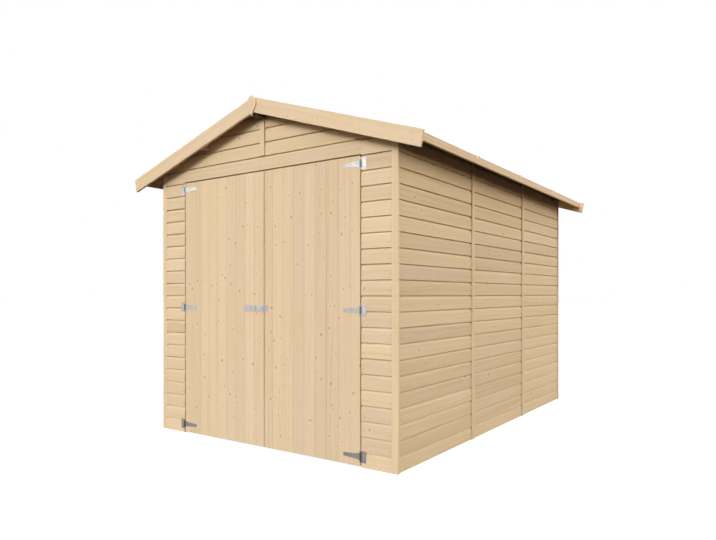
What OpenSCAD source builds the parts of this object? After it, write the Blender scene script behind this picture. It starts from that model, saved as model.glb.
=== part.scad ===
// Wooden garage with an apex roof, double doors in the front gable and panelled walls.
// Millimetres, +Z up. The front faces -Y and the origin is the centre of the footprint on the ground.

/* [Body] */
// Width over the corner trims
body_w = 2060; // [1860:20:2500]
// Length over the end walls
body_l = 2965; // [2365:5:4165]
// Thickness of the wall boards and of the corner trims
clad_t = 18; // [14:1:22]
// Cover height of one wall board
course = 90.5; // [80:0.5:92]
// Height of the lowest wall board
first_course = 91; // [80:1:100]
// Whole wall boards from the lowest one up to the door head
head_courses = 19; // [18:1:19]
// How far the door head lies over the nearest board joint
head_rise = 6; // [0:1:15]

/* [Roof] */
// Height of the roof boards at the ridge
ridge_h = 2253; // [2230:1:2500]
// Pitch of each slope, in degrees
roof_pitch = 17.85; // [15:0.05:19]
// Thickness of the roof boards
roof_t = 16; // [14:1:22]
// How far the eaves stand out from the corner trims
eave_over = 175; // [120:1:220]
// How far the gable boards stand out from the end walls
gable_over = 97; // [60:1:160]
// Width of the strips over the roof joints
rib_w = 16; // [12:1:50]
// Height of the strips over the roof joints
rib_t = 15; // [10:1:25]
// Height of the fascia boards
fascia_h = 38; // [30:1:60]
// Thickness of the fascia boards
fascia_t = 16; // [12:1:22]
// Width of the purlins
purlin_w = 45; // [35:1:60]
// Depth of the ridge purlin
purlin_h = 80; // [60:1:100]
// Depth of the side purlins
side_purlin_h = 44; // [35:1:60]
// Distance of the side purlins from the ridge line
purlin_x = 537; // [400:1:560]

/* [Gable boards] */
// Width of the boards along the gable slopes
barge_w = 92; // [80:1:120]
// Thickness of the gable boards
barge_t = 18; // [16:1:24]
// How far the gable boards run past the corner trims
barge_over = 211; // [180:1:240]
// How far the gable boards stand above the roof
barge_rise = 13; // [10:1:25]
// How far the foot of a gable board's end is cut back
barge_cut = 19; // [0:1:30]
// Width of the diamond blocks at the peaks
finial_w = 72; // [40:1:90]
// Height of the diamond blocks
finial_h = 134; // [110:1:160]
// How far the diamond blocks stand above the gable boards
finial_rise = 10; // [0:1:20]
// Thickness of the diamond blocks
finial_t = 12; // [10:1:20]

/* [Trims] */
// Width of the corner trims
trim_w = 44; // [36:1:80]
// How far the side wall joints lie to the rear of the thirds
joint_shift = 20; // [-30:5:30]
// Width of the battens over the wall joints
batten_w = 40; // [30:1:60]
// Thickness of the battens over the wall joints
batten_t = 10; // [8:1:16]

/* [Framing] */
// Width of the studs
stud_w = 45; // [34:1:60]
// Depth of the studs and plates
frame_t = 34; // [28:1:45]
// Height of the plates
plate_h = 45; // [34:1:60]
// Depth of the lintel
lintel_h = 70; // [60:1:90]

/* [Doors] */
// Width of the doorway
door_w = 1560; // [1350:10:1600]
// Thickness of the door boards
leaf_t = 18; // [16:1:22]
// Gap at each hinge side
side_gap = 6; // [6:0.5:10]
// Gap between the leaves
meeting_gap = 6; // [6:0.5:10]
// How far the meeting line lies to the right of the middle
meeting_x = 11; // [-20:1:20]
// Gap over the leaves
head_gap = 8; // [6:1:12]
// Gap under the leaves
foot_gap = 7; // [6:1:20]
// Width of the ledges and braces inside
ledge_w = 92; // [70:1:110]
// Thickness of the ledges and braces
ledge_t = 20; // [16:1:25]
// Width of the strip behind the meeting edge
strip_w = 45; // [35:1:60]
// Gap under the meeting strip
strip_gap = 3; // [2:0.5:6]

/* [Ironwork] */
// Height of the middle hinges and of the hasp
middle_h = 910; // [860:1:960]
// Distance of the low hinges from the leaf's foot
low_hinge = 56; // [50:1:90]
// Distance of the high hinges from the leaf's head
high_hinge = 47; // [40:1:90]
// Height of the hinge plates
plate_len = 68; // [60:1:80]
// Width of the hinge plates, from the knuckle
plate_w = 38; // [30:1:45]
// Length of the hinge straps, from the knuckle
strap_len = 124; // [100:1:160]
// Height of the straps at the knuckle
strap_h = 44; // [36:1:50]
// Height of the straps at the tip
strap_tip = 20; // [14:1:26]
// Thickness of the steel
steel_t = 2.5; // [2:0.5:3]
// Radius of the knuckles
knuckle_r = 5; // [4.5:0.5:6]
// Radius of the hinge pins
pin_r = 2.2; // [2:0.1:2.8]
// Length of the hasp
hasp_len = 186; // [140:1:220]
// Width of the hasp
hasp_w = 40; // [28:1:46]
// Width of the staple's plate
staple_w = 32; // [26:1:60]

/* [Hidden] */
// Clearance where a sloping face seats on another
seat = 0.3;
// Radial clearance of a hinge pin, and end clearance of its knuckles
pin_gap = 0.3;
knuckle_gap = 0.6;
// Clearance of a purlin in its notch
notch_gap = 1;
// Clearance where a ledge, a brace and the meeting strip come together
ledge_gap = 1;
// How far the ledges stop short of the leaf's hinge edge
ledge_set = 20;
// Where a strap turns from steep to slim, as a share of its length
strap_bend = 0.25;
// Panels in each roof slope
roof_panels = 4;
// Heights of a diamond block's shoulders and corners, as shares of its height from the top
finial_shoulder = 0.22;
finial_corner = 0.48;

half_w = body_w / 2;
half_l = body_l / 2;
// Outer face of the side boards, which the battens bring level with the corner trims
side_x = half_w - batten_t;
trim_x = half_w - trim_w;
frame_x = side_x - clad_t;
frame_y = half_l - clad_t;
cabin_x = frame_x - frame_t;
cabin_y = frame_y - frame_t;
joint_ys = [joint_shift - body_l / 6, joint_shift + body_l / 6];
head_z = first_course + head_courses * course + head_rise;
door_x = door_w / 2;
eave_x = half_w + eave_over;
barge_x = half_w + barge_over;
barge_y = half_l + gable_over;
roof_y = barge_y - barge_t;
panel_l = 2 * roof_y / roof_panels;
slope = tan(roof_pitch);
lean = 1 / cos(roof_pitch);
// Underside of the plates along the tops of the side walls
side_top = seat_z(frame_x) - plate_h;

leaf_x1 = door_x - side_gap;
leaf_z0 = foot_gap;
leaf_z1 = head_z - head_gap;
hinge_x = door_x - side_gap / 2;
hinge_y = -half_l - knuckle_r;
hinge_zs = [leaf_z0 + low_hinge, middle_h, leaf_z1 - high_hinge];
ledge_x1 = leaf_x1 - ledge_set;
ledge_zs = [for (z = hinge_zs) min(max(z, leaf_z0 + ledge_w / 2), leaf_z1 - ledge_w / 2)];

// Height of the roof's upper face, of its underside, and of what seats under it
function top_z(x) = ridge_h - abs(x) * slope;
function under_z(x) = top_z(x) - roof_t * lean;
function seat_z(x) = under_z(x) - seat;
// Meeting edge of a leaf, and the near end of its ledges, as drawn on the right
function leaf_x0(side) = meeting_gap / 2 + side * meeting_x;
function ledge_x0(side) = leaf_x0(side) + strip_w + ledge_gap;
// Underside of a purlin whose middle is at x
function purlin_z(x) = seat_z(abs(x) + purlin_w / 2) - (x == 0 ? purlin_h : side_purlin_h);

// Extrudes an outline drawn in X and Z from y0 to y1
module along_y(y0, y1)
    translate([0, y1, 0]) rotate([90, 0, 0]) linear_extrude(height = y1 - y0) children();

// Outline of a piece between x0 and x1 that runs up to the roof's underside
module up_to_roof(x0, x1, z0)
    polygon([
        [x0, z0], [x1, z0], [x1, seat_z(x1)],
        if (x0 < 0 && x1 > 0) [0, seat_z(0)],
        [x0, seat_z(x0)]
    ]);

// A board on edge between x0 and x1, y0 and y1, z0 and z1
module board(x0, x1, y0, y1, z0, z1)
    translate([x0, y0, z0]) cube([x1 - x0, y1 - y0, z1 - z0]);

// The piece as drawn, on the right, and its mirror image on the left
module both_sides() {
    children();
    mirror([1, 0, 0]) children();
}

// The notches for the three purlins
module purlin_notches()
    for (x = [-purlin_x, 0, purlin_x])
        translate([x - purlin_w / 2 - notch_gap, purlin_z(x) - notch_gap])
            square([purlin_w + 2 * notch_gap, purlin_h * 2]);

// ---- Walls ----

module front_wall(side)
    color("burlywood") mirror([side < 0 ? 1 : 0, 0, 0])
        along_y(-half_l, -frame_y) up_to_roof(door_x, trim_x, 0);

module front_gable()
    color("burlywood") along_y(-half_l, -frame_y)
        difference() {
            up_to_roof(-door_x, door_x, head_z);
            purlin_notches();
        }

module rear_wall(side)
    color("burlywood") along_y(frame_y, half_l)
        difference() {
            mirror([side < 0 ? 1 : 0, 0]) up_to_roof(0, trim_x, 0);
            purlin_notches();
        }

module side_wall(side, y0, y1)
    color("tan") mirror([side < 0 ? 1 : 0, 0, 0])
        along_y(y0, y1) up_to_roof(frame_x, side_x, 0);

// The short batten over the doors and the long one over the rear joint
module end_battens()
    color("wheat") {
        along_y(-half_l - batten_t, -half_l) end_batten(head_z + course);
        along_y(half_l, half_l + batten_t) end_batten(0);
    }

module end_batten(z0)
    difference() {
        up_to_roof(-batten_w / 2, batten_w / 2, z0);
        purlin_notches();
    }

module side_battens()
    color("wheat") both_sides()
        for (y = joint_ys)
            along_y(y - batten_w / 2, y + batten_w / 2) up_to_roof(side_x, half_w, 0);

module corner_trims()
    color("wheat") both_sides() {
        along_y(-half_l, -frame_y) up_to_roof(trim_x, half_w, 0);
        along_y(frame_y, half_l) up_to_roof(trim_x, half_w, 0);
    }

// ---- Framing ----

// Three studs to a wall panel, between the plates
module side_studs()
    color("peru") both_sides()
        for (p = [[-frame_y, joint_ys[0]], joint_ys, [joint_ys[1], frame_y]])
            for (y = [p[0] + seat, (p[0] + p[1] - stud_w) / 2, p[1] - stud_w - seat])
                board(cabin_x, frame_x, y, y + stud_w, plate_h, side_top);

module side_plates()
    color("peru") both_sides() {
        board(cabin_x, frame_x, -frame_y, frame_y, 0, plate_h);
        along_y(-frame_y, frame_y) up_to_roof(cabin_x, frame_x, side_top);
    }

// Door posts, corner studs and the short studs that carry the purlins over the lintel, and the rear studs
module end_studs()
    color("peru") {
        both_sides() {
            along_y(-frame_y, -cabin_y) up_to_roof(door_x, door_x + stud_w, plate_h);
            along_y(-frame_y, -cabin_y) up_to_roof(cabin_x - stud_w, cabin_x, plate_h);
            along_y(cabin_y, frame_y) up_to_roof(cabin_x - stud_w, cabin_x, plate_h);
            board(purlin_x - stud_w / 2, purlin_x + stud_w / 2, -frame_y, -cabin_y,
                head_z + lintel_h, purlin_z(purlin_x) - seat);
            board(purlin_x - stud_w / 2, purlin_x + stud_w / 2, cabin_y, frame_y,
                plate_h, purlin_z(purlin_x) - seat);
            board(seat, stud_w, cabin_y, frame_y, plate_h, purlin_z(0) - seat);
        }
        board(-stud_w / 2, stud_w / 2, -frame_y, -cabin_y, head_z + lintel_h, purlin_z(0) - seat);
    }

// The lintel, the two sills beside the doorway and the rear sill
module end_plates()
    color("peru") {
        board(-door_x, door_x, -frame_y, -cabin_y, head_z, head_z + lintel_h);
        both_sides() board(door_x, cabin_x, -frame_y, -cabin_y, 0, plate_h);
        board(-cabin_x, cabin_x, cabin_y, frame_y, 0, plate_h);
    }

// ---- Roof ----

module purlin(x)
    along_y(-roof_y, roof_y)
        intersection() {
            translate([x - purlin_w / 2, purlin_z(x)]) square([purlin_w, purlin_h * 2]);
            up_to_roof(-half_w, half_w, 0);
        }

module ridge_purlin()
    color("tan") purlin(0);

module side_purlins()
    color("tan") for (x = [-purlin_x, purlin_x]) purlin(x);

// One roof panel, counted from the front
module roof_panel(side, n)
    color("burlywood") mirror([side < 0 ? 1 : 0, 0, 0])
        along_y(-roof_y + (n - 1) * panel_l, -roof_y + n * panel_l)
            slope_board(0, eave_x - fascia_t, 0, roof_t * lean);

// Outline of a board along the slope, from x0 to x1, between two depths under the roof's upper face
module slope_board(x0, x1, d0, d1)
    polygon([[x0, top_z(x0) - d0], [x1, top_z(x1) - d0], [x1, top_z(x1) - d1], [x0, top_z(x0) - d1]]);

// The strips over the joints between the roof panels
module roof_strips()
    color("wheat") both_sides()
        for (n = [1 : roof_panels - 1])
            along_y(-roof_y + n * panel_l - rib_w / 2, -roof_y + n * panel_l + rib_w / 2)
                slope_board(seat, eave_x, -rib_t * lean, -seat);

module fascias()
    color("wheat") both_sides()
        along_y(-roof_y, roof_y)
            polygon([
                [eave_x - fascia_t, top_z(eave_x) - fascia_h],
                [eave_x, top_z(eave_x) - fascia_h],
                [eave_x, top_z(eave_x) - seat],
                [eave_x - fascia_t, top_z(eave_x - fascia_t) - seat]
            ]);

// A gable board: end is -1 at the front and 1 at the rear
module barge(side, end)
    color("wheat") mirror([side < 0 ? 1 : 0, 0, 0])
        along_y(end < 0 ? -barge_y : roof_y, end < 0 ? -roof_y : barge_y)
            polygon([
                [0, top_z(0) + barge_rise * lean],
                [barge_x, top_z(barge_x) + barge_rise * lean],
                [barge_x - barge_cut, top_z(barge_x - barge_cut) + (barge_rise - barge_w) * lean],
                [0, top_z(0) + (barge_rise - barge_w) * lean]
            ]);

module finials()
    color("wheat") {
        along_y(-barge_y - finial_t, -barge_y) finial_outline();
        along_y(barge_y, barge_y + finial_t) finial_outline();
    }

module finial_outline()
    translate([0, top_z(0) + barge_rise * lean + finial_rise])
        polygon([
            [0, 0], [finial_w / 2, -finial_h * finial_shoulder], [finial_w / 2, -finial_h * finial_corner],
            [0, -finial_h], [-finial_w / 2, -finial_h * finial_corner],
            [-finial_w / 2, -finial_h * finial_shoulder]
        ]);

// ---- Doors: drawn on the right, mirrored for the left ----

module leaf(side)
    color("wheat") mirror([side < 0 ? 1 : 0, 0, 0])
        board(leaf_x0(side), leaf_x1, -half_l, -half_l + leaf_t, leaf_z0, leaf_z1);

// Three ledges and two braces that rise from the hinge side
module ledges(side)
    color("burlywood") mirror([side < 0 ? 1 : 0, 0, 0])
        along_y(-half_l + leaf_t, -half_l + leaf_t + ledge_t) {
            for (z = ledge_zs)
                translate([ledge_x0(side), z - ledge_w / 2])
                    square([ledge_x1 - ledge_x0(side), ledge_w]);
            for (n = [0, 1])
                brace(ledge_x0(side), ledge_zs[n] + ledge_w / 2 + ledge_gap,
                    ledge_zs[n + 1] - ledge_w / 2 - ledge_gap);
        }

// A brace from its foot at the hinge side, at z0, up to x0 and z1
module brace(x0, z0, z1)
    polygon([[ledge_x1, z0], [x0 + ledge_w, z1], [x0, z1], [ledge_x1 - ledge_w, z0]]);

module meeting_strip()
    color("burlywood")
        board(-leaf_x0(-1) - strip_w, -leaf_x0(-1), -half_l + leaf_t, -half_l + leaf_t + ledge_t,
            strip_gap, leaf_z1);

// ---- Ironwork ----

module knuckle(r, h)
    translate([0, 0, -h / 2]) cylinder(r = r, h = h, $fn = 48);

module hinge_plates()
    color("silver")
        for (side = [-1, 1], z = hinge_zs)
            translate([side * hinge_x, hinge_y, z]) {
                difference() {
                    union() {
                        knuckle(knuckle_r, plate_len);
                        board(side < 0 ? -plate_w : 0, side < 0 ? 0 : plate_w,
                            knuckle_r - steel_t, knuckle_r, -plate_len / 2, plate_len / 2);
                    }
                    board(-knuckle_r - knuckle_gap, knuckle_r + knuckle_gap, -knuckle_r - 1, knuckle_r + 1,
                        -strap_h / 2 - knuckle_gap, strap_h / 2 + knuckle_gap);
                }
                knuckle(pin_r, plate_len);
            }

// Straps of one leaf, which run from the knuckle towards the meeting line
module straps(side)
    color("silver")
        for (z = hinge_zs)
            translate([side * hinge_x, hinge_y, z])
                difference() {
                    union() {
                        knuckle(knuckle_r, strap_h);
                        along_y(knuckle_r - steel_t, knuckle_r) strap_outline(-side);
                    }
                    knuckle(pin_r + pin_gap, 2 * strap_h);
                }

// Steep from the knuckle to the bend, then slim to the tip
module strap_outline(way)
    polygon([
        [0, -strap_h / 2], [0, strap_h / 2],
        [way * strap_len * strap_bend, (strap_h + strap_tip) / 4], [way * strap_len, strap_tip / 2],
        [way * strap_len, -strap_tip / 2], [way * strap_len * strap_bend, -(strap_h + strap_tip) / 4]
    ]);

// A flat hasp with a round end on the left leaf
module hasp()
    color("silver")
        along_y(-half_l - steel_t, -half_l)
            translate([-leaf_x0(-1), middle_h]) {
                translate([-hasp_len + hasp_w / 2, 0]) circle(d = hasp_w, $fn = 64);
                translate([-hasp_len + hasp_w / 2, -hasp_w / 2]) square([hasp_len - hasp_w / 2, hasp_w]);
            }

// The plate and the eye on the right leaf
module staple()
    color("silver")
        along_y(-half_l - steel_t, -half_l)
            translate([leaf_x0(1), middle_h - hasp_w / 2]) square([staple_w, hasp_w]);

front_wall(-1);  // front_wall_left
front_wall(1);  // front_wall_right
front_gable();
end_battens();
side_wall(1, -frame_y, joint_ys[0]);  // right_wall_front
side_wall(1, joint_ys[0], joint_ys[1]);  // right_wall_middle
side_wall(1, joint_ys[1], frame_y);  // right_wall_rear
side_wall(-1, -frame_y, joint_ys[0]);  // left_wall_front
side_wall(-1, joint_ys[0], joint_ys[1]);  // left_wall_middle
side_wall(-1, joint_ys[1], frame_y);  // left_wall_rear
rear_wall(-1);  // rear_wall_left
rear_wall(1);  // rear_wall_right
side_battens();
corner_trims();
side_studs();
end_studs();
side_plates();
end_plates();
ridge_purlin();
side_purlins();
roof_panel(1, 1);  // right_roof_1
roof_panel(1, 2);  // right_roof_2
roof_panel(1, 3);  // right_roof_3
roof_panel(1, 4);  // right_roof_4
roof_panel(-1, 1);  // left_roof_1
roof_panel(-1, 2);  // left_roof_2
roof_panel(-1, 3);  // left_roof_3
roof_panel(-1, 4);  // left_roof_4
roof_strips();
fascias();
barge(-1, -1);  // front_barge_left
barge(1, -1);  // front_barge_right
barge(-1, 1);  // rear_barge_left
barge(1, 1);  // rear_barge_right
finials();
leaf(-1);  // left_leaf
ledges(-1);  // left_ledges
meeting_strip();
leaf(1);  // right_leaf
ledges(1);  // right_ledges
hinge_plates();
straps(-1);  // left_straps
straps(1);  // right_straps
hasp();
staple();
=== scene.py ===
import math

import bmesh
import bpy
import numpy as np
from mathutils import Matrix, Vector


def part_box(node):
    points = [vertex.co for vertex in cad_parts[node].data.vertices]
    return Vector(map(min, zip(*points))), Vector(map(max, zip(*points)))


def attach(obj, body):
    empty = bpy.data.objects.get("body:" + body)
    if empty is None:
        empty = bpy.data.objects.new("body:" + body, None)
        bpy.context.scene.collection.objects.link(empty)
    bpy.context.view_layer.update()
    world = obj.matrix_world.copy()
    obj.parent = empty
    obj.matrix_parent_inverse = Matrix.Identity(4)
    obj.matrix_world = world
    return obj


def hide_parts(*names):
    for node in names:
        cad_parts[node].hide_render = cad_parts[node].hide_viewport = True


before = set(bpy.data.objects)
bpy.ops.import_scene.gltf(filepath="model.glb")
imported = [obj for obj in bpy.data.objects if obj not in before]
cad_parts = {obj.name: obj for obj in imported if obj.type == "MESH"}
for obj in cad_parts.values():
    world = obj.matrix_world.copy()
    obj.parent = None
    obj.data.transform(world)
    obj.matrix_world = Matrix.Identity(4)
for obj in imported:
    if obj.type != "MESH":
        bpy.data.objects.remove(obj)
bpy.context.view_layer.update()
chance = np.random.default_rng(12)  # one seeded source, so that each run draws the same


# Roof line, read from the frame

stripLow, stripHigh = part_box("front_wall_right")
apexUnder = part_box("rear_wall_right")[1].z
roofSlope = (apexUnder - stripHigh.z) / stripLow.x
roofAngle = math.atan(roofSlope)
doorEdge = stripLow.x


# Underside of the roof at a distance x from the ridge line: the apex less the slope times x
def roofUnder(x):
    return apexUnder - roofSlope * np.abs(x)


# Lowest and highest corner of a CAD node, as arrays
def corners(node):
    return [np.array(corner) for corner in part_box(node)]


# Shader maths

# Sets an input to a value, or links it to an output
def feed(slot, part):
    if isinstance(part, Wire):
        slot.id_data.links.new(part.socket, slot)
    else:
        slot.default_value = part


# An output socket that takes part in sums; each operator adds one Math node
class Wire:
    def __init__(self, socket):
        self.socket = socket

    def math(self, operation, *parts):
        step = self.socket.id_data.nodes.new("ShaderNodeMath")
        step.operation = operation
        for slot, part in zip(step.inputs, parts):
            feed(slot, part)
        return Wire(step.outputs[0])

    def __add__(self, other):
        return self.math("ADD", self, other)

    def __radd__(self, other):
        return self.math("ADD", other, self)

    def __sub__(self, other):
        return self.math("SUBTRACT", self, other)

    def __rsub__(self, other):
        return self.math("SUBTRACT", other, self)

    def __mul__(self, other):
        return self.math("MULTIPLY", self, other)

    def __rmul__(self, other):
        return self.math("MULTIPLY", other, self)

    def __truediv__(self, other):
        return self.math("DIVIDE", self, other)

    def __pow__(self, other):
        return self.math("POWER", self, other)

    def most(self, other):
        return self.math("MAXIMUM", self, other)

    def least(self, other):
        return self.math("MINIMUM", self, other)

    # 0 below low, 1 above high, and a smooth step between
    def step(self, low, high):
        part = ((self - low) / (high - low)).most(0.0).least(1.0)
        return part * part * (3.0 - 2.0 * part)


# Makes the nodes of one material or world
class Nodes:
    def __init__(self, owner):
        owner.use_nodes = True
        self.tree = owner.node_tree
        self.tree.nodes.clear()

    # Adds a node of a kind: its settings first, then the values or links of its sockets
    def add(self, kind, settings=None, values=None):
        made = self.tree.nodes.new("ShaderNode" + kind)
        for name, choice in (settings or {}).items():
            setattr(made, name, choice)
        for key, part in (values or {}).items():
            feed(made.inputs[key], part)
        return made

    # Adds a node and gives one of its outputs
    def out(self, kind, output, settings=None, values=None):
        return Wire(self.add(kind, settings, values).outputs[output])

    # The three parts of a vector or a colour
    def parts(self, vector):
        split = self.add("SeparateXYZ", None, {0: vector})
        return [Wire(slot) for slot in split.outputs]

    # The vector of three parts
    def join(self, x, y, z):
        return self.out("CombineXYZ", 0, None, {0: x, 1: y, 2: z})

    # Cloudy noise between 0 and 1, with scale features to the metre
    def noise(self, place, scale, detail=2.0, roughness=0.5):
        values = {"Vector": place, "Scale": scale, "Detail": detail, "Roughness": roughness}
        return self.out("TexNoise", 0, None, values)

    # Blends two colours, or the mix of them by another way such as MULTIPLY
    def blend(self, share, below, above, way="MIX"):
        settings = dict(data_type="RGBA", blend_type=way)
        return self.out("Mix", 2, settings, {0: share, 6: below, 7: above})

    # 1 on the rays that come straight from the camera, off gloss or through glass, 0 on all others
    def seen(self):
        path = self.add("LightPath")
        return (Wire(path.outputs["Is Camera Ray"]) + Wire(path.outputs["Is Glossy Ray"])
                + Wire(path.outputs["Is Transmission Ray"])).least(1.0)


# A colour as a socket takes it
def opaque(red, green, blue):
    return (red, green, blue, 1.0)


# The same grey in all three channels
def grey(value):
    return opaque(value, value, value)


# Spruce

spruceLook = dict(
    pale=(0.790, 0.620, 0.430),
    yellow=(0.765, 0.594, 0.352),
    pink=(0.785, 0.565, 0.400),
    late=(0.650, 0.455, 0.245),
    halo=(0.830, 0.610, 0.400),
    knot=(0.400, 0.220, 0.090),
    ringSpacing=0.0075,
    ringPower=2.2,
    ringBend=0.060,
    ringDrift=0.010,
    ringSlant=0.35,
    knotPush=0.55,
    knotLength=0.24,
    knotWidth=0.060,
    knotOval=0.80,
    knotRadius=0.0074,
    knotSizes=(0.45, 0.80),  # least share of the radius, and how much more at most
    knotEdge=(0.60, 1.15),  # shares of the radius between which the core fades
    knotRim=(0.0005, 0.0022),
    knotWobble=0.003,
    knotRings=0.0021,
    knotShare=0.16,
    haloReach=4.5,
    haloShare=0.35,
    toneSpread=0.10,
    ringShare=0.26,
    bandShare=0.44,
    fleckShare=0.26,
    slowPitch=(0.9, 5.0, 5.0),  # features to the metre along a board, across it and into it
    driftPitch=(2.2, 16.0, 10.0),
    bandPitch=(0.8, 55.0, 40.0),
    fibrePitch=(9.0, 520.0, 420.0),
    patchPitch=(2.6, 9.0, 9.0),
    fleckPitch=(34.0, 150.0, 150.0),
    fibreSpread=0.10,
    # Painted shade: for each step of tone below zero the wood is darker, and green and blue are taken off
    sawnTint=(0.055, 0.19),  # green and blue taken off for each step below zero
    shadeMost=3.0,
    roughness=0.72,
    gloss=0.03,
    bumpStrength=0.55,
    fibreRelief=0.00025,
    ringRelief=0.00012,
    knotRelief=0.0004,
)


# Planed or sawn spruce. The growth rings are the sine of the distance across the board, bent by slow noise
# along it and pushed round each knot; fibres are noise drawn out along the board; the tone shifts from
# board to board, and below zero it is painted shade, darker and browner by the shares of green and blue
# taken off for each step down.
def spruce(name, shade=1.0, **changes):
    look = dict(spruceLook, **changes)
    finish = bpy.data.materials.new(name)
    nodes = Nodes(finish)
    place = nodes.out("Attribute", "Vector", dict(attribute_name="grain"))
    along, across, deep = nodes.parts(place)
    tone, hue, knotty = nodes.parts(nodes.out("Attribute", "Vector", dict(attribute_name="tone")))

    # Noise with so many features to the metre along the board, across it and into it
    def drawn(pitch, sideways, detail=2.0, roughness=0.5):
        spread = nodes.join(along * pitch[0], sideways * pitch[1], deep * pitch[2])
        return nodes.noise(spread, 1.0, detail, roughness)

    # Knots: the nearest point of a stretched cell pattern, as an oval with a darker rim
    cells = nodes.join(along / look["knotLength"], across / look["knotWidth"], 0.0)
    flat = dict(voronoi_dimensions="2D", feature="F1")
    cell = nodes.add("TexVoronoi", flat, {"Vector": cells, "Scale": 1.0})
    knotX, knotY = nodes.parts(Wire(cell.outputs["Position"]))[:2]
    lot, size, depth = nodes.parts(Wire(cell.outputs["Color"]))
    offX = along - knotX * look["knotLength"]
    offY = across - knotY * look["knotWidth"]
    wobble = nodes.noise(place, 120.0, 2.0)
    reach = ((offX * look["knotOval"]) ** 2.0 + offY ** 2.0) ** 0.5 + (wobble - 0.5) * look["knotWobble"]
    limit = look["knotShare"] * (0.5 + knotty)
    present = 1.0 - (lot - limit).step(0.0, 0.01)
    least, spread = look["knotSizes"]
    radius = look["knotRadius"] * (least + spread * size)
    inner, outer = look["knotEdge"]
    core = present * (1.0 - reach.step(radius * inner, radius * outer))
    edge = reach - radius
    rim = present * (1.0 - edge.math("ABSOLUTE", edge).step(*look["knotRim"]))
    halo = present * (1.0 - reach.step(radius, radius * look["haloReach"]))

    # Growth rings, and noise at four scales: broad bands, fine fibres, large patches and short flecks
    slow = drawn(look["slowPitch"], across)
    bent = across + (slow - 0.5) * look["ringBend"] - halo * offY * look["knotPush"]
    drift = drawn(look["driftPitch"], bent, 3.0)
    slanted = bent + deep * look["ringSlant"] + (drift - 0.5) * look["ringDrift"]
    turns = slanted * (2.0 * math.pi / look["ringSpacing"])
    ring = (turns.math("SINE", turns) * 0.5 + 0.5) ** look["ringPower"]
    bands = drawn(look["bandPitch"], bent, 3.0, 0.65)
    fibres = drawn(look["fibrePitch"], bent, 2.0, 0.6)
    patches = drawn(look["patchPitch"], across)
    flecks = drawn(look["fleckPitch"], bent, 2.0, 0.6)

    # Colour: two hues, paler patches, late wood, halo and knot, then the board's own lightness and the
    # painted shade of a tone below zero
    hueMix = (hue * 0.6 + (1.0 - tone) * 0.25 + patches * 0.6 - 0.22).least(1.0).most(0.0)
    tinted = nodes.blend(hueMix, opaque(*look["yellow"]), opaque(*look["pink"]))
    base = nodes.blend(patches.step(0.30, 0.75) * 0.45 + 0.20, tinted, opaque(*look["pale"]))
    lateShare = (ring * look["ringShare"] + bands.step(0.40, 0.75) * look["bandShare"]
                 + flecks.step(0.52, 0.80) * look["fleckShare"]) * (0.70 + 0.6 * knotty)
    haloed = nodes.blend(halo * look["haloShare"], base, opaque(*look["halo"]))
    grained = nodes.blend(lateShare * (1.0 - 0.5 * halo), haloed, opaque(*look["late"]))
    knotTurns = reach * (2.0 * math.pi / look["knotRings"])
    knotRings = knotTurns.math("SINE", knotTurns)
    darkness = (core * (0.56 + 0.14 * knotRings) + rim * 0.40) * (0.45 + 0.65 * depth)
    knotted = nodes.blend(darkness.least(0.90), grained, opaque(*look["knot"]))
    light = shade * (1.0 - 0.5 * look["toneSpread"] + look["toneSpread"] * tone)
    light = light * (1.0 + look["fibreSpread"] * (fibres - 0.5))
    # Tone below zero is painted shade: the rebates under the laps, the holes at battens, the gaps by the
    # doors and the undersides are darkened and browned here
    sawn = (0.0 - tone).most(0.0).least(look["shadeMost"])
    greenTint, blueTint = look["sawnTint"]
    warm = nodes.join(light, light * (1.0 - greenTint * sawn), light * (1.0 - blueTint * sawn))
    colour = nodes.blend(1.0, knotted, warm, "MULTIPLY")

    # Relief: fine fibres, with the hard rings and the knots a little proud
    height = fibres * look["fibreRelief"] + ring * look["ringRelief"] + core * look["knotRelief"]
    relief = {"Strength": look["bumpStrength"], "Distance": 1.0, "Height": height}
    bump = nodes.out("Bump", 0, None, relief)
    rough = look["roughness"] + 0.10 * fibres - 0.14 * core
    shader = nodes.out("BsdfPrincipled", 0, None, {"Base Color": colour, "Roughness": rough, "Normal": bump,
                                                   "Specular IOR Level": look["gloss"]})
    nodes.add("OutputMaterial", None, {0: shader})
    return finish


wallWood = spruce("spruce_wall_boards", toneSpread=0.13)
# The doors' painted shade is browner, for the edge in the meeting gap
doorWood = spruce("spruce_door_boards", knotShare=0.40, knotLength=0.15, knotWidth=0.046, knotRadius=0.0066,
                  bandShare=0.40, bandPitch=(0.8, 80.0, 40.0), fleckShare=0.34, sawnTint=(0.18, 0.75))
trimWood = spruce("spruce_trims", shade=1.03, knotShare=0.06, knotLength=0.40, toneSpread=0.04)
roofWood = spruce("spruce_roof_boards", shade=0.90)
# Painted shade: darker wood for the roof's undersides and the fascias' inner faces, which lie in shadow under
# the eaves
shadedUnderWood = spruce("spruce_roof_underside_painted_shade", shade=0.42, roughness=0.80)
frameWood = spruce("spruce_framing", shade=0.88, roughness=0.78)
# Painted shade: the purlins are darker, and the ridge purlin darkest, where they stand in shadow under the
# barges
shadedPurlinWood = spruce("spruce_purlins_painted_shade", shade=0.60, roughness=0.80)
shadedRidgeWood = spruce("spruce_ridge_painted_shade", shade=0.20, roughness=0.80)
print("spruce finishes made")


# Galvanised steel

zincLook = dict(
    high=(0.69, 0.665, 0.645),
    middle=(0.450, 0.425, 0.405),
    low=(0.235, 0.218, 0.208),
    lowBand=(0.15, 0.85),  # heights between which the low grey turns into the middle one
    highBand=(0.95, 1.70),  # and the middle grey into the high one
    spangle=0.011,
    spread=0.14,
    metal=0.85,
    roughness=0.36,
    bumpStrength=0.4,
    relief=0.00004,
)
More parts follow.
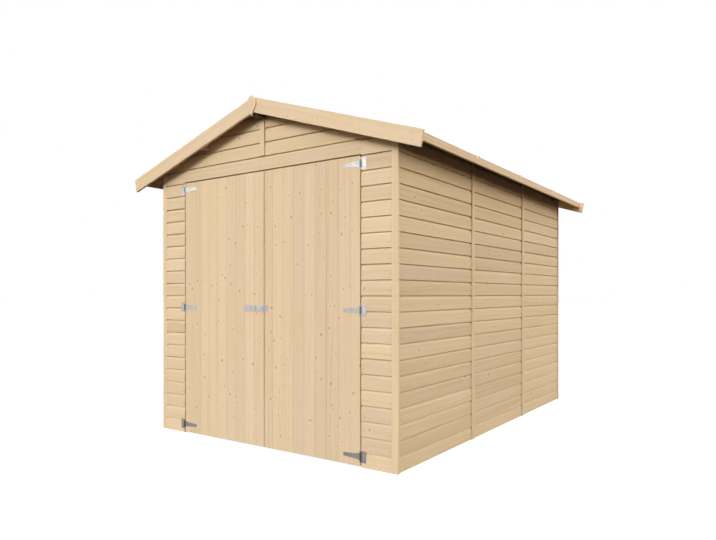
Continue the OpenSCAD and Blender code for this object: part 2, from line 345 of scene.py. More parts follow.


# Zinc coating: cells a centimetre across, each with its own grey and gloss, under a cloudy mottle. The grey
# changes with height as painted light and shade: pale near the top as a painted highlight, darker towards the
# ground.
def zinc(name, shade=1.0):
    look = zincLook
    finish = bpy.data.materials.new(name)
    nodes = Nodes(finish)
    place = nodes.out("TexCoord", "Object")
    height = nodes.parts(place)[2]
    cell = nodes.add("TexVoronoi", dict(feature="F1"), {"Vector": place, "Scale": 1.0 / look["spangle"]})
    lot = nodes.parts(Wire(cell.outputs["Color"]))[0]
    cloud = nodes.noise(place, 38.0, 3.0)
    fine = nodes.noise(place, 900.0, 2.0)
    # Painted light and shade: the grey runs from dark low down to pale high up
    lower = nodes.blend(height.step(*look["lowBand"]), opaque(*look["low"]), opaque(*look["middle"]))
    base = nodes.blend(height.step(*look["highBand"]), lower, opaque(*look["high"]))
    light = shade * (1.0 - look["spread"] + look["spread"] * lot + look["spread"] * cloud)
    colour = nodes.blend(1.0, base, nodes.join(light, light, light), "MULTIPLY")
    rough = look["roughness"] + 0.14 * lot + 0.05 * fine
    relief = {"Strength": look["bumpStrength"], "Distance": 1.0, "Height": fine * look["relief"]}
    bump = nodes.out("Bump", 0, None, relief)
    shader = nodes.out("BsdfPrincipled", 0, None,
                       {"Base Color": colour, "Metallic": look["metal"], "Roughness": rough, "Normal": bump})
    nodes.add("OutputMaterial", None, {0: shader})
    return finish


nailFinishLook = dict(
    clean=(0.30, 0.23, 0.16),
    rust=(0.22, 0.13, 0.07),
    mottle=240.0,
    metal=0.3,
    roughness=0.6,
)


# Nail heads: small brown-grey steel, mottled with rust
def nailFinish(name):
    look = nailFinishLook
    finish = bpy.data.materials.new(name)
    nodes = Nodes(finish)
    rust = nodes.noise(nodes.out("TexCoord", "Object"), look["mottle"], 2.0).step(0.35, 0.65)
    colour = nodes.blend(rust, opaque(*look["clean"]), opaque(*look["rust"]))
    shader = nodes.out("BsdfPrincipled", 0, None,
                       {"Base Color": colour, "Metallic": look["metal"], "Roughness": look["roughness"]})
    nodes.add("OutputMaterial", None, {0: shader})
    return finish


steel = zinc("galvanised_steel")
# Painted shade: a darker zinc on the screw heads stands for the shade in their cross recesses
shadedScrewSteel = zinc("screw_steel_painted_shade", shade=0.70)
# Painted shade: a dark zinc for the straps' knuckles
shadedKnuckleSteel = zinc("knuckle_steel_painted_shade", shade=0.38)
nailSteel = nailFinish("nail_heads")
print("steel finishes made")


# Meshes

grainSpread = 30.0  # how far apart in the wood two sticks may be cut, along each axis
facing = 0.5  # a face looks a way when that part of its normal is more than this


# Gives every point of a mesh three numbers under a key
def setLayer(mesh, key, values):
    layer = mesh.attributes.new(key, "FLOAT_VECTOR", "POINT")
    layer.data.foreach_set("vector", np.asarray(values, np.float32).ravel())


# Puts points and faces into a piece, with a layer of three numbers a point for each further key
def addPiece(name, points, faces, body, slot, finish, replaced=(), crease=6, **layers):
    mesh = bpy.data.meshes.new(name)
    mesh.from_pydata(np.asarray(points).reshape(-1, 3).tolist(), [], faces)
    for key, values in layers.items():
        setLayer(mesh, key, values)
    return finishPiece(name, mesh, body, finish, replaced, crease)


# Makes a mesh a piece that rides on a body, with shading that breaks at edges sharper than crease degrees
def finishPiece(name, mesh, body, finish, replaced=(), crease=6):
    mesh.polygons.foreach_set("use_smooth", np.ones(len(mesh.polygons), bool))
    mesh.set_sharp_from_angle(angle=math.radians(crease))
    mesh.update()
    piece = bpy.data.objects.new(name, mesh)
    bpy.context.scene.collection.objects.link(piece)
    mesh.materials.append(finish)
    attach(piece, body)
    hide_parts(*replaced)
    return piece


# The three numbers of every face of a piece under a key, "normal" or "center"
def faceValues(piece, key):
    values = np.empty(len(piece.data.polygons) * 3)
    piece.data.polygons.foreach_get(key, values)
    return values.reshape(-1, 3)


# Puts the chosen faces of a piece in a darker finish, which is painted shade
def darken(piece, chosen, finish):
    piece.data.materials.append(finish)
    piece.data.polygons.foreach_set("material_index", chosen.astype(np.int32))


# Three random numbers for each stick: lightness, hue and how knotty it is
def tones(count):
    return chance.random((count, 3))


# Faces of points laid out as [stick, ring, corner]: quads join each ring to the next, and one more face
# closes each end
def stickFaces(count, rings, cornerCount):
    first = np.arange(count * rings).reshape(count, rings, 1) * cornerCount
    corner = np.arange(cornerCount)
    here = first[:, :-1] + corner
    beside = first[:, :-1] + np.roll(corner, -1)
    sides = np.stack([here, beside, beside + cornerCount, here + cornerCount], -1).reshape(-1, 4)
    ends = np.concatenate([first[:, 0] + corner[::-1], first[:, -1] + corner])
    return sides.tolist() + ends.tolist()


# Sticks: points is [stick, ring, corner, xyz]. A stick whose corners run the wrong way round is turned, so
# that all its faces look outwards. axes are the directions along the grain, across it and into the board.
def sticks(name, points, axes, body, slot, finish, replaced=(), tone=None):
    ring = points[:, 0]
    area = np.cross(ring, np.roll(ring, -1, axis=1)).sum(1)
    length = points[:, -1].mean(1) - ring.mean(1)
    turned = (area * length).sum(-1) < 0
    count = len(points)
    tone = tones(count)[:, None, None] if tone is None else tone
    tone = np.broadcast_to(tone, points.shape).copy()
    for values in (points, tone):
        values[turned] = values[turned][:, :, ::-1]
    grain = points @ np.asarray(axes, float).T + chance.random((count, 1, 1, 3)) * grainSpread
    faces = stickFaces(*points.shape[:3])
    return addPiece(name, points, faces, body, slot, finish, replaced, grain=grain, tone=tone)


# Wall boards

lapLook = dict(
    cover=0.0905,
    firstCover=0.091,
    leastBoard=0.020,
    stripGap=0.004,
    apexGap=0.012,
    tip=0.001,  # least half width of a board under the ridge
    scoopHeight=0.030,
    scoopDepth=0.0050,
    rebateFrom=0.6,
    rebateDepth=0.0045,
    rebatePower=1.5,
    rebateShade=1.1,
    shadeFrom=0.75,
    notchDepth=0.0105,
    # Painted shade: battenCut darkens the holes beside the battens, and doorCut the board ends in the hinge
    # gaps
    battenCut=(0.020, 5.0, 1.0),  # reach, shade and share of the notch where a board meets a batten
    doorCut=(0.002, 0.6, 0.0),  # the same where it meets a door
    cutFade=0.001,
    slotHeight=0.0026,
    slotDepth=0.0030,
    nose=0.0012,
    back=0.0015,
    noseSteps=4,
    scoopSteps=13,
    footTone=(0.75, -0.6, 0.5),  # lightness, hue and knots of the lowest board of a side wall
    footShade=2.2,
    gableShadeHue=0.6,
)


# 0 up to start, then evenly up to 1 at 1
def ramp(rise, start):
    return np.clip((rise - start) / (1 - start), 0, 1)


# Section of a lapped board, up its face and down its back: heights, depths behind the face, how much painted
# shade darkens each point, and how much deeper it lies where the board is notched for a batten. A rounded
# nose is followed by a plain face, then by a scoop as deep as one less a quarter cosine wave; the scoop's
# upper part gets steeper, a rebate as deep as a power of the rise, and its upper quarter is painted darker as
# shade under the lap. Then come the slot under the board above, painted darker too, and a plain back.
def lapSection(thickness):
    look = lapLook
    cover = look["cover"]
    bend = np.linspace(0, math.pi / 2, look["noseSteps"])
    noseHeight = look["nose"] * (1 - np.cos(bend))
    noseDepth = look["nose"] * (1 - np.sin(bend))
    rise = np.linspace(0, 1, look["scoopSteps"])
    scoopFoot = cover - look["scoopHeight"]
    scoopTop = cover - look["slotHeight"]
    scoopHeight = scoopFoot + rise * (scoopTop - scoopFoot)
    scoopDepth = look["scoopDepth"] * (1 - np.cos(rise * math.pi / 2))
    scoopDepth = scoopDepth + look["rebateDepth"] * ramp(rise, look["rebateFrom"]) ** look["rebatePower"]
    slot = scoopDepth[-1] + look["slotDepth"]
    notch = np.where(rise > look["rebateFrom"], np.maximum(look["notchDepth"] - scoopDepth, 0), 0)
    shade = look["rebateShade"]
    backTop, backDepth = cover - look["back"], thickness - look["back"]
    heights = [noseHeight, scoopHeight, [scoopTop, cover, cover, backTop, look["back"], 0]]
    depths = [noseDepth, scoopDepth, [slot, slot, backDepth, thickness, thickness, backDepth]]
    # These shades are painted shade under the lap: they darken the rebate's upper quarter and the slot
    shades = [noseDepth * 0, shade * ramp(rise, look["shadeFrom"]), [shade, shade, 0, 0, 0, 0]]
    notches = [noseDepth * 0, notch, [0] * 6]
    return [np.concatenate(parts) for parts in (heights, depths, shades, notches)]


# Stations at one end of a board, from the end inwards, each with its place along the board, how much painted
# shade darkens the board there and its share of the notch. cut is how far the cut reaches, its painted shade
# and its share of the notch.
def endStations(start, inward, cut):
    if cut is None:
        return [(start, 0.0, 0.0)]
    reach, shade, notch = cut
    last = start + inward * (reach - lapLook["cutFade"])
    return [(start, shade, notch), (last, shade, notch), (start + inward * reach, 0.0, 0.0)]


# Boards of one wall panel. side is the way its face looks: "+x", "-x", "+y" or "-y". On an end wall each
# corner of a board runs on until it meets the roof, where x is the height left under the ridge over the
# roof's slope. lowCut and highCut are how the boards' two ends are darkened with painted shade and notched.
def wallBoards(node, side, firstCover, peak, lowCut=None, highCut=None):
    low, high = corners(node)
    face, sign = "xy".index(side[1]), 1 if side[0] == "+" else -1
    run = 1 - face
    outer = high[face] if sign > 0 else low[face]
    heights, depths, shades, notches = lapSection(high[face] - low[face])
    stations = endStations(low[run], 1, lowCut) + endStations(high[run], -1, highCut)[::-1]
    along, cutShades, cutNotches = np.array(stations).T[:, :, None]
    courses = np.arange(math.ceil((peak - low[2]) / lapLook["cover"]))
    feet = low[2] + np.append(0, firstCover + lapLook["cover"] * courses)
    feet = feet[peak - feet > lapLook["leastBoard"]]
    tops = np.append(feet[1:], peak)
    points = np.empty((len(feet), len(stations), len(heights), 3))
    points[..., face] = outer - sign * (depths + notches * cutNotches)
    points[..., 2] = (feet[:, None] + heights / lapLook["cover"] * (tops - feet)[:, None])[:, None]
    points[..., run] = along
    if run == 0:
        reach = np.maximum((apexUnder - points[..., 2]) / roofSlope, lapLook["tip"])
        points[..., 0] = np.clip(points[..., 0], -reach, reach)
    axes = np.zeros((3, 3))
    axes[0, run], axes[1, 2], axes[2, face] = 1, 1, 1
    tone = np.tile(tones(len(feet))[:, None, None], (1, len(stations), len(depths), 1))
    if run == 1:
        tone[0] = lapLook["footTone"]
    # The painted shade of the rebates and of the board ends is taken off the lightness
    tone[..., 0] -= shades + cutShades
    tone[0, :, [0, -1], 0] -= lapLook["footShade"]  # painted shade on the underside of the lowest board
    # The gable's boards are made yellower: partly their colour, partly painted warmth for the shade under the
    # barges
    if node == "front_gable":
        tone[..., 1] -= lapLook["gableShadeHue"]
    sticks(node + "_boards", points, axes, "root", "wall_boards", wallWood, [node], tone)
    return feet


sidePeak = float(roofUnder(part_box("right_wall_middle")[1].x))
stripPeak = float(roofUnder(doorEdge)) - lapLook["stripGap"]
gablePeak = apexUnder - lapLook["apexGap"]
wallRows = {}
for hand, side in (("right", "+x"), ("left", "-x")):
    for part in ("front", "middle", "rear"):
        node = hand + "_wall_" + part
        lowCut = None if part == "front" else lapLook["battenCut"]
        highCut = None if part == "rear" else lapLook["battenCut"]
        wallRows[node] = wallBoards(node, side, lapLook["firstCover"], sidePeak, lowCut, highCut)
for hand, lowCut, highCut in (("right", lapLook["doorCut"], None), ("left", None, lapLook["doorCut"])):
    node = "front_wall_" + hand
    wallRows[node] = wallBoards(node, "-y", lapLook["firstCover"], stripPeak, lowCut, highCut)
    node = "rear_wall_" + hand
    wallRows[node] = wallBoards(node, "+y", lapLook["firstCover"], gablePeak)
wallRows["front_gable"] = wallBoards("front_gable", "-y", lapLook["cover"], gablePeak)
print("wall boards made")


# Tongued boards: doors and roof

tongueLook = dict(
    cover=0.088,
    leastBoard=0.020,
    chamfer=0.0012,
    joint=0.0006,
    tongue=0.005,
    half=0.003,
    play=0.0005,
    blind=0.0002,  # what stands for the tongue or the groove of a board that lacks it
)
farEdge = slice(2, 8)  # the section's corners round the edge that carries the tongue


# Section of each tongued board, between its two edges: both faces have chamfered edges, with a tongue on
# the far side and a groove on the near one, which the first and the last board lack. wideLast widens the
# chamfer of the last board's outer edge.
def tongueSections(edges, thickness, wideLast=0.0):
    look = tongueLook
    starts, ends = edges[:-1] + look["joint"] / 2, edges[1:] - look["joint"] / 2
    number = np.arange(len(starts))
    isLast = number == len(starts) - 1
    tongue = np.where(isLast, look["blind"], look["tongue"])
    groove = np.where(number == 0, look["blind"], look["tongue"] + look["play"])
    near, half, wide, middle = look["chamfer"], look["half"], look["half"] + look["play"], thickness / 2
    far = near + wideLast * isLast
    across = [starts + near, ends - far, ends, ends, ends + tongue, ends + tongue, ends, ends, ends - far,
              starts + near, starts, starts, starts + groove, starts + groove, starts, starts]
    deep = [0, 0, far, middle - half, middle - half, middle + half, middle + half, thickness - far, thickness,
            thickness, thickness - near, middle + wide, middle + wide, middle - wide, middle - wide, near]
    return np.stack(across, -1), np.stack(np.broadcast_arrays(*deep, starts)[:-1], -1)


# Edges of boards of one cover width from start to stop, after a first board of another width
def boardEdges(start, stop, firstWidth):
    cover = tongueLook["cover"]
    inner = start + firstWidth + cover * np.arange(math.ceil((stop - start) / cover))
    return np.concatenate([[start], inner[inner < stop - tongueLook["leastBoard"]], [stop]])


# Room for the points of boards with these sections: two rings each, one for each end
def twoRings(section):
    return np.empty(section.shape[:1] + (2,) + section.shape[1:] + (3,))


doorLook = dict(
    leftFirst=0.080,
    rightFirst=0.071,
    meetingCut=0.0042,
    edgeShadeTone=-0.5,  # lightness of the last board of a leaf round its meeting edge, painted shade of the gap
)


# Upright boards of one door leaf
def doorBoards(node, body, firstWidth, wideLast):
    low, high = corners(node)
    across, deep = tongueSections(boardEdges(low[0], high[0], firstWidth), high[1] - low[1], wideLast)
    points = twoRings(across)
    points[..., 0] = across[:, None]
    points[..., 1] = low[1] + deep[:, None]
    points[:, 0, :, 2], points[:, 1, :, 2] = low[2], high[2]
    tone = np.tile(tones(len(points))[:, None, None], (1, 1, points.shape[2], 1))
    # Painted shade of the meeting gap, on the edge of the leaf's last board
    tone[-1, :, farEdge, 0] = doorLook["edgeShadeTone"]
    axes = [(0, 0, 1), (1, 0, 0), (0, 1, 0)]
    sticks(node + "_boards", points, axes, body, "door_boards", doorWood, [node], tone)


doorBoards("left_leaf", "left_door", doorLook["leftFirst"], doorLook["meetingCut"])
doorBoards("right_leaf", "right_door", doorLook["rightFirst"], 0.0)


# Boards of one roof panel, level along the slope. A corner at distance s down the slope and depth d lies at
# x = s cos a - d sin a, and is held between the ridge line and the fascia.
def roofBoards(node, side):
    low, high = corners(node)
    width = high[0] - low[0]
    cosine, sine = math.cos(roofAngle), math.sin(roofAngle)
    thickness = (high[2] - apexUnder) * cosine
    down, deep = tongueSections(boardEdges(0.0, width / cosine, tongueLook["cover"]), thickness)
    down = np.clip(down, deep * roofSlope, (width + deep * sine) / cosine)
    points = twoRings(down)
    points[..., 0] = side * (down * cosine - deep * sine)[:, None]
    points[..., 2] = high[2] - (down * sine + deep * cosine)[:, None]
    points[:, 0, :, 1], points[:, 1, :, 1] = low[1], high[1]
    axes = [(0, 1, 0), (cosine * side, 0, -sine), (sine * side, 0, cosine)]
    piece = sticks(node + "_boards", points, axes, "root", "roof_boards", roofWood, [node])
    # The roof's undersides take the darker wood, as painted shade
    darken(piece, faceValues(piece, "normal")[:, 2] < -facing, shadedUnderWood)


panelCount = sum(node.startswith("right_roof_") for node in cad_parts)
for number in range(1, panelCount + 1):
    roofBoards("right_roof_%d" % number, 1)
    roofBoards("left_roof_%d" % number, -1)
print("door and roof boards made")


# Solid timber and ironwork, from the CAD shapes

easeLook = dict(
    timber=0.0016,
    steel=0.0005,
    segments=2,
    merge=0.00002,
    flatAngle=math.radians(1),
    sharpAngle=0.5,  # radians between two faces, past which their edge is eased
)


# A merged copy of a CAD node with its sharp edges eased by a small round
def easedMesh(node, softness):
    look = easeLook
    work = bmesh.new()
    work.from_mesh(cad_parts[node].data)
    bmesh.ops.remove_doubles(work, verts=work.verts, dist=look["merge"])
    bmesh.ops.dissolve_limit(work, angle_limit=look["flatAngle"], verts=work.verts, edges=work.edges)
    folded = [edge for edge in work.edges if len(edge.link_faces) == 2]
    sharp = [edge for edge in folded if edge.calc_face_angle() > look["sharpAngle"]]
    segments = look["segments"]
    bmesh.ops.bevel(work, geom=sharp, offset=softness, segments=segments, profile=0.5, affect="EDGES")
    mesh = bpy.data.meshes.new(node + "_eased")
    work.to_mesh(mesh)
    work.free()
    return mesh


# Numbers the separate solids of a mesh: each point takes the lowest number among its neighbours, again and
# again until no number changes
def solidNumbers(mesh):
    edges = np.empty(len(mesh.edges) * 2, np.int64)
    mesh.edges.foreach_get("vertices", edges)
    edges = edges.reshape(-1, 2)
    number = np.arange(len(mesh.vertices))
    while True:
        least = np.minimum(number[edges[:, 0]], number[edges[:, 1]])
        after = number.copy()
        np.minimum.at(after, edges[:, 0], least)
        np.minimum.at(after, edges[:, 1], least)
        after = after[after]
        if (after == number).all():
            return np.unique(number, return_inverse=True)[1]
        number = after


# Solid timber: the grain of each solid runs along its longest axis, the first singular vector of its points
def timber(node, body, finish):
    mesh = easedMesh(node, easeLook["timber"])
    points = np.empty(len(mesh.vertices) * 3)
    mesh.vertices.foreach_get("co", points)
    points = points.reshape(-1, 3)
    solids = solidNumbers(mesh)
    grain, tone = np.zeros_like(points), np.zeros_like(points)
    for number in range(solids.max() + 1):
        own = solids == number
        centred = points[own] - points[own].mean(0)
        axes = np.linalg.svd(centred, full_matrices=False)[2]
        grain[own] = centred @ axes.T + chance.random(3) * grainSpread
        tone[own] = tones(1)
    setLayer(mesh, "grain", grain)
    setLayer(mesh, "tone", tone)
    return finishPiece(node + "_timber", mesh, body, finish, [node])


for node in ("corner_trims", "side_battens", "end_battens", "roof_strips", "fascias", "finials",
             "front_barge_left", "front_barge_right", "rear_barge_left", "rear_barge_right"):
    piece = timber(node, "root", trimWood)
    # The fascias' inner faces take the darker wood, as painted shade
    if node == "fascias":
        inward = -faceValues(piece, "normal")[:, 0] * np.sign(faceValues(piece, "center")[:, 0])
        darken(piece, inward > facing, shadedUnderWood)
for node in ("side_studs", "end_studs", "side_plates", "end_plates"):
    timber(node, "root", frameWood)
# The purlins take the darker wood, as painted shade
timber("ridge_purlin", "root", shadedRidgeWood)
timber("side_purlins", "root", shadedPurlinWood)
for node in ("left_ledges", "meeting_strip"):
    timber(node, "left_door", frameWood)
timber("right_ledges", "right_door", frameWood)
print("timbers made")


sheetLook = dict(crease=35, knuckleWidth=0.0104)


# Pieces of steel sheet; a strap's knuckle, at its end by the wall, is painted darker, as painted shade
def ironwork(node, body):
    mesh = easedMesh(node, easeLook["steel"])
    piece = finishPiece(node + "_iron", mesh, body, steel, [node], sheetLook["crease"])
    if "straps" in node:
        reach = abs(faceValues(piece, "center")[:, 0])
        darken(piece, reach > reach.max() - sheetLook["knuckleWidth"], shadedKnuckleSteel)


for node, body in (("hinge_plates", "root"), ("left_straps", "left_door"), ("right_straps", "right_door"),
                   ("hasp", "left_door"), ("staple", "right_door")):
    ironwork(node, body)


# Screws and nails

roundCrease = 40  # degrees; turned pieces of steel are smooth up to this
screwLook = dict(radius=0.0042, height=0.0012, corners=12)
nailLook = dict(radius=0.0024, height=0.0004, corners=8)
headLook = dict(dome=1.1, rings=3, sink=0.002, aside=(0.3, 0.5, 0.8))


# Angles of so many corners round a circle
def circleAngles(count):
    return np.arange(count) * 2 * math.pi / count


# Low round heads turned about the outward direction: each ring's radius is a cosine and its height a sine
# of an angle that grows to dome. The foot is sunk, and aside is any direction that is never outward.
def heads(name, places, outward, look, body, finish):
    outward = np.asarray(outward, float)
    side = np.cross(outward, headLook["aside"])
    side /= np.linalg.norm(side)
    up = np.cross(outward, side)
    turn = circleAngles(look["corners"])
    lift = np.linspace(0, headLook["dome"], headLook["rings"])
    radius = look["radius"] * np.cos(lift)
    height = look["height"] * np.sin(lift) / math.sin(headLook["dome"])
    circle = np.cos(turn)[:, None] * side + np.sin(turn)[:, None] * up
    rings = radius[:, None, None] * circle + height[:, None, None] * outward
    foot = rings[:1] - outward * headLook["sink"]
    rings = np.concatenate([foot, rings])
    points = np.asarray(places, float)[:, None, None, :] + rings
    faces = stickFaces(*points.shape[:3])
    addPiece(name, points, faces, body, "galvanised", finish, crease=roundCrease)


# Screws of the hinges and of the hasp, as distances from the hinge line or from the meeting line
screwRuns = dict(
    plateHeight=0.068,
    plate=0.028,
    plateRows=(-0.024, 0.024),
    strap=(0.026, 0.066, 0.110),
    hasp=(-0.155, -0.112),
    staple=0.036,
    stapleRows=(-0.011, 0.011),
)

plateLow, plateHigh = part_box("hinge_plates")
haspLow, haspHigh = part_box("hasp")
steelFront = float(haspLow.y)
middleHeight = (haspLow.z + haspHigh.z) / 2
halfPlate = screwRuns["plateHeight"] / 2
hingeHeights = [plateLow.z + halfPlate, middleHeight, plateHigh.z - halfPlate]
hingeLine = (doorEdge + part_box("right_leaf")[1].x) / 2
forward = (0, -1, 0)
for hand, sign in (("left", -1), ("right", 1)):
    plateX = sign * (hingeLine + screwRuns["plate"])
    onPlate = [(plateX, steelFront, height + row) for height in hingeHeights
               for row in screwRuns["plateRows"]]
    heads(hand + "_plate_screws", onPlate, forward, screwLook, "root", shadedScrewSteel)
    onStrap = [(sign * (hingeLine - run), steelFront, height) for height in hingeHeights
               for run in screwRuns["strap"]]
    heads(hand + "_strap_screws", onStrap, forward, screwLook, hand + "_door", shadedScrewSteel)

onHasp = [(run, steelFront, middleHeight) for run in screwRuns["hasp"]]
heads("hasp_screws", onHasp, forward, screwLook, "left_door", shadedScrewSteel)
onStaple = [(screwRuns["staple"], steelFront, middleHeight + row) for row in screwRuns["stapleRows"]]
heads("staple_screws", onStaple, forward, screwLook, "right_door", shadedScrewSteel)


# Puts one turned or bent piece of the hasp, [ring, corner, xyz], on the left leaf
def haspPiece(name, points):
    faces = stickFaces(1, *points.shape[:2])
    addPiece(name, points, faces, "left_door", "galvanised", steel, crease=roundCrease)


barrelLook = dict(place=-0.070, proud=0.0010, radius=0.0042, groove=0.0009, grooveWidth=0.0009, endGap=0.0008,
                  endShare=0.75, rings=33, corners=16)


# Knuckle of the hasp: a barrel whose radius is a constant less a narrow bell curve at each of its two
# joints, and narrower ends. Its rings lie at a sine's heights, closest at the ends.
def haspBarrel():
    look = barrelLook
    half = float(haspHigh.z) - middleHeight
    rise = np.sin(np.linspace(-math.pi / 2, math.pi / 2, look["rings"])) * (half - look["endGap"])
    joints = sum(np.exp(-((rise - place) / look["grooveWidth"]) ** 2) for place in (-half / 3, half / 3))
    radius = look["radius"] - look["groove"] * joints
    radius[[0, -1]] *= look["endShare"]
    turn = circleAngles(look["corners"])
    points = np.empty((look["rings"], look["corners"], 3))
    points[..., 0] = look["place"] + radius[:, None] * np.cos(turn)
    points[..., 1] = steelFront - look["proud"] + radius[:, None] * np.sin(turn)
    points[..., 2] = middleHeight + rise[:, None]
    haspPiece("hasp_barrel", points)


eyeLook = dict(place=-0.012, reach=0.0085, half=0.0100, wire=0.0022, sink=0.12, rings=17, corners=10)


# Eye of the hasp: a wire along half an ellipse that stands out from the plate, its feet sunk a little
def haspEye():
    look = eyeLook
    along = np.linspace(-look["sink"], math.pi + look["sink"], look["rings"])
    turn = circleAngles(look["corners"])
    level = np.zeros(look["rings"])
    middle = np.stack([level + look["place"], steelFront - look["reach"] * np.sin(along),
                       middleHeight - look["half"] * np.cos(along)], -1)
    outward = np.stack([level, -look["half"] * np.sin(along), -look["reach"] * np.cos(along)], -1)
    outward /= np.linalg.norm(outward, axis=1, keepdims=True)
    circle = np.cos(turn)[:, None] * np.array([1.0, 0, 0]) + np.sin(turn)[:, None] * outward[:, None]
    haspPiece("hasp_eye", middle[:, None] + look["wire"] * circle)


bossLook = dict(place=-0.046, radius=0.0150, height=0.0022, foot=0.001, topShare=0.08, rings=7, corners=24)


# Boss pressed out of the hasp beside its barrel: a low dome, the height a cosine of the distance from its
# middle, on a short sunk foot
def haspBoss():
    look = bossLook
    share = np.linspace(1.0, look["topShare"], look["rings"])
    turn = circleAngles(look["corners"])
    lift = np.append(-look["foot"], look["height"] * np.cos(share * math.pi / 2))
    reach = np.append(1.0, share) * look["radius"]
    points = np.empty((len(reach), look["corners"], 3))
    points[..., 0] = look["place"] + reach[:, None] * np.cos(turn)
    points[..., 1] = (steelFront - lift)[:, None]
    points[..., 2] = middleHeight + reach[:, None] * np.sin(turn)
    haspPiece("hasp_boss", points)


haspBarrel()
haspEye()
haspBoss()

nailRuns = dict(
    rise=0.030,  # above a board's foot
    inset=0.022,
    endInset=0.0132,
    clear=0.010,
    gable=(0.035, 0.537, 0.76),
    barge=(0.30, 0.833, 1.17),
    bargeRows=(-0.017, 0.017),
    bargeDrop=0.061,
)


# Nails of one wall panel: one for each board at each upright behind it, without those that would come within
# clear of the roof
def panelNails(node, feet):
    low, high = corners(node)
    rows = feet + nailRuns["rise"]
    if "left_wall" in node or "right_wall" in node:
        side = "+x" if "right" in node else "-x"
        face = high[0] if side == "+x" else low[0]
        inset = nailRuns["inset"]
        runs = np.array([low[1] + inset, (low[1] + high[1]) / 2, high[1] - inset])
        grid = np.stack(np.broadcast_arrays(face, runs[:, None], rows[None]), -1).reshape(-1, 3)
        return side, grid[grid[:, 2] < sidePeak - nailRuns["clear"]]
    side = "-y" if "front" in node else "+y"
    face = low[1] if side == "-y" else high[1]
    if node == "front_gable":
        gable = np.array(nailRuns["gable"])
        runs = np.append(-gable[::-1], gable)
    else:
        runs = np.array([low[0] + nailRuns["endInset"], high[0] - nailRuns["endInset"]])
    if "rear" in node:
        runs = np.append(runs, (low[0] + high[0]) / 2)
    grid = np.stack(np.broadcast_arrays(runs[:, None], face, rows[None]), -1).reshape(-1, 3)
    return side, grid[grid[:, 2] < roofUnder(grid[:, 0]) - nailRuns["clear"]]


nails = {"-y": [], "+y": [], "+x": [], "-x": []}
for node, feet in wallRows.items():
    side, places = panelNails(node, feet)
    nails[side].append(places)
bargeLow, bargeHigh = corners("front_barge_right")
for run in nailRuns["barge"]:
    for row in nailRuns["bargeRows"]:
        height = bargeHigh[2] - roofSlope * run - nailRuns["bargeDrop"] + row
        for hand in (-1, 1):
            nails["-y"].append(np.array([[hand * run, bargeLow[1], height]]))
            nails["+y"].append(np.array([[hand * run, -bargeLow[1], height]]))
for name, side, outward in (("front_nails", "-y", forward), ("rear_nails", "+y", (0, 1, 0)),
                            ("right_nails", "+x", (1, 0, 0)), ("left_nails", "-x", (-1, 0, 0))):
    heads(name, np.concatenate(nails[side]), outward, nailLook, "root", nailSteel)
print("screws and nails made")


# Floor, light and camera

floorLook = dict(reach=60.0, colour=0.60, under=0.03, glow=0.72)


# Floor: pale to the eye and to gloss, dark to the light it would throw back under the eaves
def studioFloor():
    look = floorLook
    edge = np.array([-look["reach"], look["reach"]])
    points = np.stack(np.broadcast_arrays(edge[:, None], edge[None], 0.0), -1).reshape(-1, 3)
    mesh = bpy.data.meshes.new("floor")
    mesh.from_pydata(points.tolist(), [], [(0, 2, 3, 1)])
    floor = bpy.data.objects.new("floor", mesh)
    bpy.context.scene.collection.objects.link(floor)
    finish = bpy.data.materials.new("studio_floor")
    nodes = Nodes(finish)
    seen = nodes.seen()
    colour = nodes.blend(seen, grey(look["under"]), grey(look["colour"]))
    shader = nodes.out("BsdfDiffuse", 0, None, {"Color": colour})
    glow = nodes.out("Emission", 0, None, {"Color": grey(1.0), "Strength": seen * look["glow"]})
    nodes.add("OutputMaterial", None, {0: nodes.out("AddShader", 0, None, {0: shader, 1: glow})})
    mesh.materials.append(finish)


skyLook = dict(
    strength=2.58,
    fall=1.5,
    frontDip=1.0,
    leftDip=0.12,
    tint=(0.970, 1.010, 1.11),
    lowTint=(1.08, 0.955, 0.70),
    tintBand=(0.0, 0.45),
    keyStrength=31.0,
    keyHeight=17.5,
    keyFocus=90.0,
    keyTint=(0.91, 1.035, 1.24),
    keyLowTint=(1.04, 0.96, 0.80),
    keyTintBand=(0.10, 0.50),
)


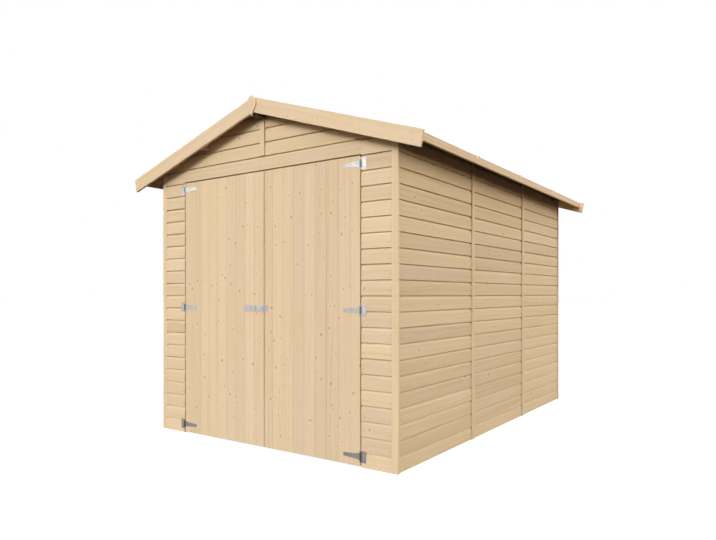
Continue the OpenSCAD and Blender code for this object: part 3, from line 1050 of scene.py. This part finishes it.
# Sky: a dome whose brightness is a power of the cosine of the height, dimmer in front by the square of the
# forward part, a little dimmer on the left and warmer near the ground, and a soft key low in front, a power
# of the cosine of the angle from its middle
def studioSky():
    look = skyLook
    world = bpy.data.worlds.new("studio")
    bpy.context.scene.world = world
    nodes = Nodes(world)
    across, depth, height = nodes.parts(nodes.out("TexCoord", "Generated"))
    forwards, leftwards = (0.0 - depth).most(0.0), (0.0 - across).most(0.0)
    dome = (1.0 - height * height) ** look["fall"] * (1.0 - look["frontDip"] * forwards * forwards)
    dome = dome * (1.0 - look["leftDip"] * leftwards)
    lift = math.radians(look["keyHeight"])
    key = (height * math.sin(lift) - depth * math.cos(lift)).most(0.0) ** look["keyFocus"]
    domeTint = nodes.blend(height.step(*look["tintBand"]), opaque(*look["lowTint"]), opaque(*look["tint"]))
    keyTint = nodes.blend(height.step(*look["keyTintBand"]), opaque(*look["keyLowTint"]),
                          opaque(*look["keyTint"]))
    domeLight = nodes.out("Background", 0, None, {"Color": domeTint, "Strength": dome * look["strength"]})
    keyLight = nodes.out("Background", 0, None, {"Color": keyTint, "Strength": key * look["keyStrength"]})
    light = nodes.out("AddShader", 0, None, {0: domeLight, 1: keyLight})
    white = nodes.out("Background", 0, None, {"Color": grey(1.0), "Strength": 1.0})
    shown = nodes.out("MixShader", 0, None, {0: nodes.seen(), 1: light, 2: white})
    nodes.add("OutputWorld", None, {0: shown})


studioFloor()
studioSky()

cameraLook = dict(place=(2.7617, -4.3440, 1.0050), heading=35.005, tilt=90.0, focal=30.23, sensor=36.0,
                  shift=0.0336)
lens = bpy.data.cameras.new("camera")
lens.lens = cameraLook["focal"]
lens.sensor_width = cameraLook["sensor"]
lens.shift_y = cameraLook["shift"]
camera = bpy.data.objects.new("camera", lens)
camera.location = cameraLook["place"]
camera.rotation_euler = (math.radians(cameraLook["tilt"]), 0, math.radians(cameraLook["heading"]))
bpy.context.scene.collection.objects.link(camera)
bpy.context.scene.camera = camera
bpy.context.scene.view_settings.view_transform = "Standard"
print("floor, light and camera made")
